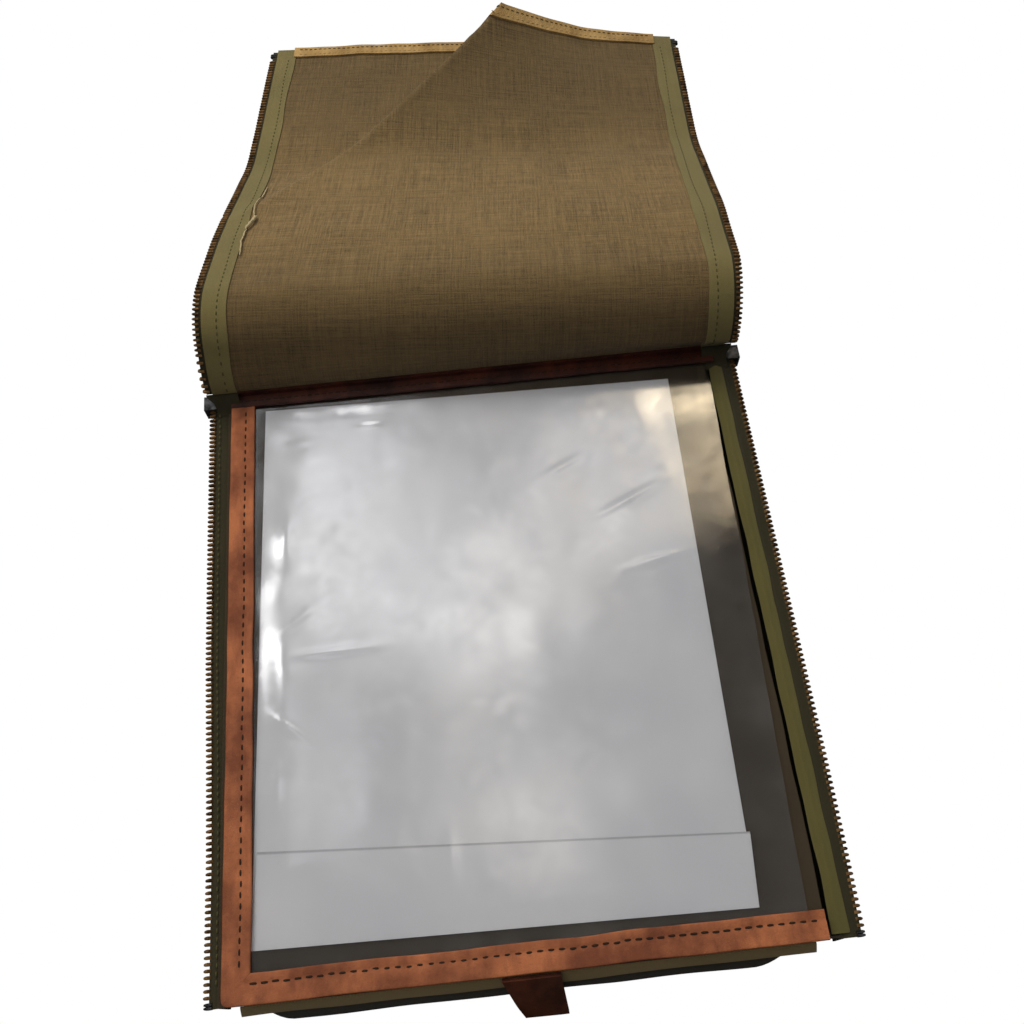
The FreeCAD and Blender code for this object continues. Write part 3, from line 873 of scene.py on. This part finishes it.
def back_cloth(s, t, n):
    x = -WIDTH_HALF + 2 * WIDTH_HALF * s
    corner = 8.0 * (1 - ease(s * 9) * ease((1 - s) * 7))
    start = FRONT - 5.0 + corner
    y = start + (SPINE - start) * t
    inside = min(ease(s * 12), ease((1 - s) * 12), ease(t * 12), ease((1 - t) * 12))
    return Vector((x, y, 0.8 + n + inside * 0.3 * ripple(x, y, 40.0, 5.5)))


back = leaf("back_cloth", back_cloth, 60, 66, -0.7, 0.7, CANVAS, "canvas", lambda s, t: (256 * s, 297 * t))
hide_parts("back_panel")


def side_wall(sign):
    def at(s, t, n):
        y = FRONT + (SPINE - FRONT) * s
        sag = ease(s * 8) * ease((1 - s) * 8)
        bow = 1.3 * math.sin(math.pi * t) + 0.7 * ripple(y, t * 10, 30.0, sign * 4.4)
        return Vector((sign * (WIDTH_HALF - 0.6 + sag * bow + n), y, WALL_FOOT + WALL_HEIGHT * t))
    return at


walls = {}
for side, sign in (("left", -1), ("right", 1)):
    wall = leaf(f"{side}_wall", side_wall(sign), 90, 6, -0.5, 0.5, CANVAS, "canvas",
                lambda s, t: (290 * s, 16 * t))
    walls[side] = wall
    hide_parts(f"{side}_gusset")
    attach(wall, "case")


def spine_cloth(s, t, n):
    x = -WIDTH_HALF + 2 * WIDTH_HALF * s
    bow = 0.8 * math.sin(math.pi * t) + 0.35 * ripple(x, t * 10, 28.0, 9.1)
    return Vector((x, SPINE - 0.8 + bow * 0.6 + n, WALL_FOOT + SPINE_HEIGHT * t))


spine = leaf("spine_cloth", spine_cloth, 70, 6, -0.45, 0.45, CANVAS, "canvas",
             lambda s, t: (256 * s, 17 * t))
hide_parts("spine_wall")

# the near wall: (how far it stands out, height) from the panel's edge down to the back
HUMP = ((0.2, 17.7), (2.6, 15.6), (5.4, 12.0), (6.8, 8.2), (6.9, 5.0), (6.0, 2.6), (4.8, 1.1))


def hump_at(t):
    place = min(t * (len(HUMP) - 1), len(HUMP) - 1.001)
    index = int(place)
    share = place - index
    (out, high), (next_out, next_high) = HUMP[index], HUMP[index + 1]
    return out + (next_out - out) * share, high + (next_high - high) * share


def front_cloth(s, t, n):
    x = -WIDTH_HALF + 2 * WIDTH_HALF * s
    out, high = hump_at(t)
    ends = ease(s * 9) * ease((1 - s) * 7)
    swell = 1.0 * ripple(x, t * 12, 34.0, 7.7) * ends * math.sin(math.pi * min(1.0, t * 1.1))
    tuck = 9.0 * (1 - ends) * ease(t * 2.2)
    return Vector((x, FRONT + 1.0 - out * (0.35 + 0.65 * ends) - swell + tuck - n, high))


front_wall = leaf("front_wall", front_cloth, 100, 18, -0.5, 0.5, CANVAS, "canvas",
                  lambda s, t: (256 * s, 22 * t))
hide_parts("front_gusset")


def front_band(s, t, n):
    x = -WIDTH_HALF + 9.0 + (2 * WIDTH_HALF - 21.0) * s
    depth = 0.02 + (0.20 + 0.06 * ripple(x, 1.0, 40.0, 3.0)) * t
    out, high = hump_at(depth)
    return Vector((x, FRONT + 0.7 - out - n, high + 0.3))


band = leaf("front_band", front_band, 90, 5, 0.3, 1.1, BAND, "twill", lambda s, t: (256 * s, 8 * t))
for made in (back, spine, front_wall, band):
    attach(made, "case")

# %% [markdown]
# ## The pocket
# A dark twill panel, a sheet of paper with its near end folded up over it, and the clear window. The
# window is a little wavy all over and rippled along its left side, where it is sewn under the trim.

# %%
PANEL_RIGHT = 121.5


def panel_cloth(s, t, n):
    x = -WIDTH_HALF + (PANEL_RIGHT + WIDTH_HALF) * s
    y = FRONT + (SPINE - FRONT) * t
    x += 0.7 * ease((s - 0.9) * 10) * ripple(y, 0.0, 24.0, 6.6)
    return Vector((x, y, 18.3 + n))


panel = leaf("pocket_panel_cloth", panel_cloth, 60, 70, -0.4, 0.4, TWILL, "twill",
             lambda s, t: (250 * s, 291 * t))
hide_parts("pocket_panel")
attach(panel, "case")

PAPER_WIDE, PAPER_LONG, PAPER_FOLD = 210.0, 261.4, 35.8
FOLD_SKEW = 9.0
PAPER_TURN = math.radians(-1.25)
PAPER_CORNER = Vector((-114.5, -127.2, 0))
PAGE_RIGHT = Vector((math.cos(PAPER_TURN), math.sin(PAPER_TURN), 0))
PAGE_UP = Vector((-math.sin(PAPER_TURN), math.cos(PAPER_TURN), 0))


def page(s, t, n):
    """The whole sheet as one strip: t runs from the far end down to the fold, round it and back up."""
    along = PAPER_LONG - (PAPER_LONG + PAPER_FOLD) * t
    x = PAPER_WIDE * s
    lift = 0.0
    if along < 0:
        back = -along / PAPER_FOLD
        along = (PAPER_FOLD - FOLD_SKEW * (s - 0.5)) * back
        lift = 0.2 + 0.5 * back
        x += 1.5 * back
    y = along
    z = 19.3 + lift + 0.12 * ripple(x, y, 50.0, 2.9)
    return PAPER_CORNER + PAGE_RIGHT * x + PAGE_UP * y + Vector((0, 0, z + (n if not lift else -n)))


sheet_of_paper = leaf("paper_page", page, 60, 120, -0.06, 0.06, PAPER, "paper",
                      lambda s, t: (210 * s, 297 * t))
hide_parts("paper_sheet")
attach(sheet_of_paper, "paper")

PANE_LEFT, PANE_RIGHT = -124.6, 122.4
PANE_FRONT, PANE_BACK = -144.6, 140.0
PANE_TAPER = 8.0

# small folds pressed into the film: middle, half length and half width, slope, height
CREASES = (
    (-75, -1, 17, 1.6, 0.02, 0.35), (-94, 16, 9, 1.5, 0.7, 0.4), (-99, -34, 8, 1.5, -0.8, 0.4),
    (-92, 112, 5, 1.2, 0.1, 0.3), (-55, 118, 6, 1.2, 0.05, 0.3), (-98, 60, 3, 9.0, 0.4, 0.25),
    (-104, -60, 2, 12.0, 0.3, 0.3), (70, 62, 15, 1.5, 0.45, 0.22), (78, 28, 14, 1.4, 0.2, 0.22),
    (40, 84, 9, 1.4, 0.5, 0.18), (-30, -100, 3, 11.0, 0.5, 0.22),
)


def pane(s, t, n):
    right = PANE_RIGHT - PANE_TAPER * (1 - t) ** 1.1
    x = PANE_LEFT + (right - PANE_LEFT) * s
    y = PANE_FRONT + (PANE_BACK - PANE_FRONT) * t
    x += 0.5 * ease((s - 0.9) * 10) * ripple(y, 0.0, 30.0, 1.6)
    inside = ease((x + 113) / 14) * ease((y + 133) / 14) * ease((135 - y) / 12)
    swell = 0.5 + 0.6 * ripple(x, y, 58.0, 2.4) + 0.12 * ripple(x * 1.3, y * 0.8, 21.0, 7.4)
    left = math.exp(-((x + 97) / 17) ** 2)
    swell += left * 0.5 * ripple(x * 1.1, y * 1.3, 24.0, 5.2)
    for middle_x, middle_y, span_x, span_y, slope, rise in CREASES:
        along, across = (x - middle_x) / span_x, y - middle_y - slope * (x - middle_x)
        swell += rise * math.exp(-along * along - (across / span_y) ** 2)
    return Vector((x, y, 20.25 + inside * max(swell, -0.1) + n))


window = leaf("window_film", pane, 150, 170, -0.15, 0.15, VINYL, "clear_vinyl",
              lambda s, t: (247 * s, 285 * t))
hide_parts("window_pane")
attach(window, "case")

# %% [markdown]
# ## Leather round the window
# The left and front trims are folded over the panel's edge and sewn down with dark thread. Their edges
# wander a little, and each stitch pulls the leather in.

# %%
TRIM_LOW, TRIM_TOP = 20.7, 22.2


MITRE_GAP = 0.12
TRIM_LEFT, TRIM_BACK, TRIM_WIDTH = -126.0, 136.0, 12.0
CORNER_RADIUS = 3.2
CORNER = Vector((TRIM_LEFT + CORNER_RADIUS, FRONT + 3.0, 0))
LEFT_SEAM, FRONT_SEAM = 7.4, 8.0  # from each trim's outer edge


def round_corner(point):
    """The trims' front left corner is cut round."""
    away = Vector((min(point.x - CORNER.x, 0), min(point.y - CORNER.y, 0), 0))
    if away.x < 0 and away.y < 0 and away.length > CORNER_RADIUS:
        away *= 1 - CORNER_RADIUS / away.length
        return point - away
    return point


def left_trim(t, a, b):
    y = TRIM_BACK - (TRIM_BACK - (FRONT - 0.2 + MITRE_GAP + a)) * t
    outer = TRIM_LEFT + 0.5 * ripple(y, 0.0, 30.0, 1.1)
    inner_shift = 0.45 * ripple(y, 9.0, 24.0, 2.1)
    x = outer + a * (1 + inner_shift / TRIM_WIDTH)
    dip = 0.35 * math.exp(-((a - LEFT_SEAM) / 0.8) ** 2) * (1.0 if b > 0.7 else 0.0)
    lift = 0.25 * ripple(y, a, 35.0, 3.1)
    return round_corner(Vector((x, y, TRIM_LOW + b - dip + max(lift, 0))))


def dense(section, step=0.8):
    """More points along a section's straight runs, so that a strap can dip between its edges."""
    out = []
    for index, (a, b) in enumerate(section):
        next_a, next_b = section[(index + 1) % len(section)]
        pieces = max(1, round(math.hypot(next_a - a, next_b - b) / step))
        out += [(a + (next_a - a) * k / pieces, b + (next_b - b) * k / pieces) for k in range(pieces)]
    return out


SECTION = dense(rounded(0.0, TRIM_WIDTH, 0.0, TRIM_TOP - TRIM_LOW, 0.55))
left = strap("left_trim_strap", SECTION, left_trim, 150, TAN, "tan_leather")
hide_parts("left_trim")

FRONT_TRIM_LEFT, FRONT_TRIM_RIGHT = -126.2, 121.0


def front_trim(t, a, b):
    start = FRONT_TRIM_LEFT + a + MITRE_GAP
    x = start + (FRONT_TRIM_RIGHT - start) * t
    outer = FRONT - 0.2 + 0.5 * ripple(x, 0.0, 30.0, 4.1)
    inner_shift = 0.5 * ripple(x, 9.0, 22.0, 5.1)
    y = outer + a * (1 + inner_shift / TRIM_WIDTH)
    pulled = 0.32 + 0.18 * math.cos(math.tau * x / 4.6)
    dip = pulled * math.exp(-(a - FRONT_SEAM) ** 2) * (1.0 if b > 0.7 else 0.0)
    lift = 0.3 * max(0.0, ripple(x, a, 30.0, 6.1))
    return round_corner(Vector((x, y, TRIM_LOW + b - dip + lift)))


front = strap("front_trim_strap", SECTION[::-1], front_trim, 130, TAN, "tan_leather")
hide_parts("front_trim")



def along_strap(place, length, a, b):
    """A seam's line on a strap, for seam_line: t millimetres along, at (a, b) of the section."""
    return lambda t: (place(t / length, a, b) + UPWARD * 0.1, UPWARD)


rows = seam_line(along_strap(left_trim, 276.0, LEFT_SEAM, 1.5), 2, 270, 4.4, 0.5, 1.0)
left_stitches = stitches("left_trim_stitches", rows, 3.0, 1.0, STITCH, "tan_leather", 0.5)
rows = seam_line(along_strap(front_trim, 247.0, FRONT_SEAM, 1.5), 3, 244, 4.6, 0.6, 2.0)
front_stitches = stitches("front_trim_stitches", rows, 3.2, 1.0, STITCH, "tan_leather", 0.5)
SPINE_STRIP_LONG, SPINE_STRIP_WIDE, SPINE_LIP_LONG = 252.0, 9.6, 254.0


def spine_strap(t, a, b):
    x = TRIM_LEFT + SPINE_STRIP_LONG * t
    y = TRIM_BACK + a + 0.35 * ripple(x, 0.0, 25.0, 7.1)
    return Vector((x, y, 20.75 + b + 0.3 * ripple(x, a, 28.0, 8.1)))


section = dense(rounded(0, SPINE_STRIP_WIDE, 0, 1.6, 0.6))[::-1]
spine_strip = strap("spine_strip_strap", section, spine_strap, 110, DARK_HIDE, "dark_leather")
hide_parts("spine_strip")


def spine_lip(s, t, n):
    return Vector((SPINE_LIP_LONG * (s - 0.5), 143.4 + n, 22.0 + 3.6 * t))


lip = leaf("spine_lip", spine_lip, 80, 3, -0.6, 0.6, DARK_HIDE, "dark_leather",
           lambda s, t: (SPINE_LIP_LONG * s, 4 * t))
rows = seam_line(along_strap(spine_strap, SPINE_STRIP_LONG, 3.4, 1.65), 3, 248, 3.6, 0.3, 3.0)
spine_stitches = stitches("spine_strip_stitches", rows, 2.6, 0.8, STITCH, "dark_leather", 0.4)
for made in (left, front, left_stitches, front_stitches, spine_strip, lip, spine_stitches):
    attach(made, "case")

# %% [markdown]
# ## The case's zips
# Each tape runs beside the case to a row of separate brass teeth, which wanders in towards the front.

# %%
ROW_BACK, ROW_FRONT = 139.0, -143.0
TOOTH_LENGTH = 3.7
CORNER_INNER, CORNER_OUTER, CORNER_FLARE = 121.0, 133.8, 3.4
ROWS = {
    -1: ((139, 138.4), (46, 137.6), (0, 137.0), (-48, 135.6), (-89, 134.6), (-143, 134.3)),
    1: ((139, 138.4), (50, 138.4), (-70, 138.2), (-120, 137.6), (-143, 137.1)),
}


def row_edge(sign, y):
    """The outer edge of a row of teeth."""
    line = ROWS[sign]
    for (start, first), (end, last) in zip(line, line[1:]):
        if y >= end:
            return first + (last - first) * max((start - y) / (start - end), 0.0)
    return line[-1][1]


def tooth_tilt(sign, y):
    """How far the teeth lean down, in degrees: the rows lie flat at the back left and stand elsewhere."""
    return 42.0 if sign > 0 else 8.0 + 34.0 * ease((10.0 - y) / 130.0)


def case_tape(sign):
    def at(s, t, n):
        y = ROW_FRONT - 3 + (ROW_BACK + 4 - ROW_FRONT) * s
        inner, outer = WIDTH_HALF - 2.2, row_edge(sign, y) - (1.6 if sign > 0 else 2.4)
        x = inner + (outer - inner) * t
        waves = 0.6 + 0.4 * ripple(y, t, 24.0, sign * 2.0)
        return Vector((sign * x, y, 17.1 + 1.2 * math.sin(math.pi * min(1.0, 1.3 * t)) * waves + n))
    return at


beside = {}
for side, sign in (("left", -1), ("right", 1)):
    tape = leaf(f"{side}_zip_tape_cloth", case_tape(sign), 130, 6, -0.3, 0.3, ZIP_TAPE, "zip_tape",
                lambda s, t: (8 * t, 286 * s))
    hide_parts(f"{side}_zip_tape")
    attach(tape, "case")
    places = []
    count = int((ROW_BACK - ROW_FRONT) / TOOTH_PITCH)
    for index in range(count):
        y = ROW_BACK - (index + 0.5) * TOOTH_PITCH
        tilt = math.radians(tooth_tilt(sign, y))
        outward = Vector((sign * math.cos(tilt), 0, -math.sin(tilt)))
        edge = Vector((sign * row_edge(sign, y), y, 17.4 + 0.9 * math.sin(tilt)))
        root = edge - Vector((outward.x * TOOTH_LENGTH, 0, 0))
        up = Vector((sign * math.sin(tilt), 0, math.cos(tilt)))
        places.append((root, outward, Vector((0, 1, 0)), up))
    teeth = piece(f"{side}_teeth", *tooth_parts(places), BRASS, "zip_brass", None, 35.0)
    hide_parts(f"{side}_zip_teeth")
    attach(teeth, "case")
    beside[side] = [tape, teeth]


def corner_cloth(sign):
    """The short length of tape and cloth that closes each end of the spine, up to the flap."""
    def at(s, t, n):
        outer = CORNER_OUTER + CORNER_FLARE * ease((t - 0.55) / 0.45)
        x = sign * (CORNER_INNER + (outer - CORNER_INNER) * s) - 1.0 * t
        y = 134.0 + 9.3 * t + 0.5 * ripple(x, t * 6, 7.0, sign * 3.0)
        return Vector((x, y + n * 0.7, 18.2 + 7.2 * ease(t) + n))
    return at


for side, sign in (("left", -1), ("right", 1)):
    corner = leaf(f"{side}_corner_cloth", corner_cloth(sign), 14, 12, -0.35, 0.35, ZIP_TAPE, "zip_tape",
                  lambda s, t: (13 * s, 13 * t))
    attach(corner, "case")
    beside[side].append(corner)


def left_tape_seam(t):
    y = 138 - t
    return Vector((5.6 - row_edge(-1, y), y, 18.9)), UPWARD


rows = seam_line(left_tape_seam, 2, 276, 3.3, 0.4, 4.0)
tape_stitches = stitches("left_tape_stitches", rows, 2.2, 0.7, OLIVE_STITCH, "zip_tape", 0.3)
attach(tape_stitches, "case")
beside["left"].append(tape_stitches)


def facing(s, t, n):
    y = ROW_FRONT - 1 + (ROW_BACK + 2 - ROW_FRONT) * s
    inner = 123.6 + 0.8 * ripple(y, 0.0, 22.0, 3.7)
    outer = 130.6 + 0.5 * ripple(y, 5.0, 18.0, 1.7)
    high = 18.05 + 0.4 * math.sin(math.pi * t) + 0.2 * ripple(y, t, 26.0, 6.2)
    return Vector((inner + (outer - inner) * t, y, high + n))


facing_tape = leaf("right_facing_cloth", facing, 130, 8, -0.3, 0.3, CASE_FACING, "facing_tape",
                   lambda s, t: (9 * t, 284 * s))
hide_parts("right_facing_tape")
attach(facing_tape, "case")
beside["right"].append(facing_tape)

stop_places = []
for sign in (-1, 1):
    for level in range(2):
        root = Vector((sign * (row_edge(sign, ROW_FRONT) - 4.0), ROW_FRONT - 1.2 - 1.3 * level, 17.3))
        stop_places.append((root, Vector((sign, 0, 0)), Vector((0, 1, 0)), UPWARD))
case_stops = piece("case_end_stops", *tooth_parts(stop_places), STEEL, "zip_brass", None, 35.0)
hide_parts("zip_end_stops")
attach(case_stops, "case")

# %% [markdown]
# ## Sliders, pulls and the leather tab

# %%
for node in ("left_slider", "right_slider", "left_pull", "right_pull"):
    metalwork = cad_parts[node]
    metalwork.data.materials.clear()
    metalwork.data.materials.append(STEEL)

TAB_HINGE = Vector((0, -147.4, 20.2))
TAB_SLOPE = math.radians(50.0)
TAB_LENGTH = 21.0


def tab(s, t, n):
    """t runs from the seam to the tip, s across."""
    left = -13.0 + 8.0 * t
    right = 11.0 + 2.0 * t
    along = TAB_LENGTH * t
    x = left + (right - left) * s
    bend = 1.0 * math.sin(math.pi * t * 0.9) + 0.3 * ripple(x, along, 9.0, 2.0)
    out = along * math.cos(TAB_SLOPE) + (n + bend) * math.sin(TAB_SLOPE)
    drop = along * math.sin(TAB_SLOPE) - (n + bend) * math.cos(TAB_SLOPE)
    return TAB_HINGE + Vector((x, -out, -drop))


for number, (low, high) in enumerate(((-1.05, -0.05), (0.05, 1.05))):
    layer = leaf(f"tab_layer_{number}", tab, 16, 14, low, high, TAB_HIDE, "dark_leather",
                 lambda s, t: (22 * s, TAB_LENGTH * t))
    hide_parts("pull_tab")
    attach(layer, "tab")

# %% [markdown]
# ## Cloth sizes
# A length is listed for each of the flap's five parts, beside the pieces on it; the lists are built and
# nothing reads them.

# %%
for side, wall in walls.items():
    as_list(beside[side])
for index, length in enumerate((0.014, 0.020, 0.026, 0.124, 0.100)):
    under, over, on_tape = [], [], [flap_seams[index]]
    if FLAP_PARTS[index] is PANEL_PART:
        under, on_tape = [strip_between], on_tape + fray
    if FLAP_PARTS[index] is END_PART:
        under, over = [outer], [upper, *end_rows]
    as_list(under)
    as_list(over)
    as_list(on_tape)
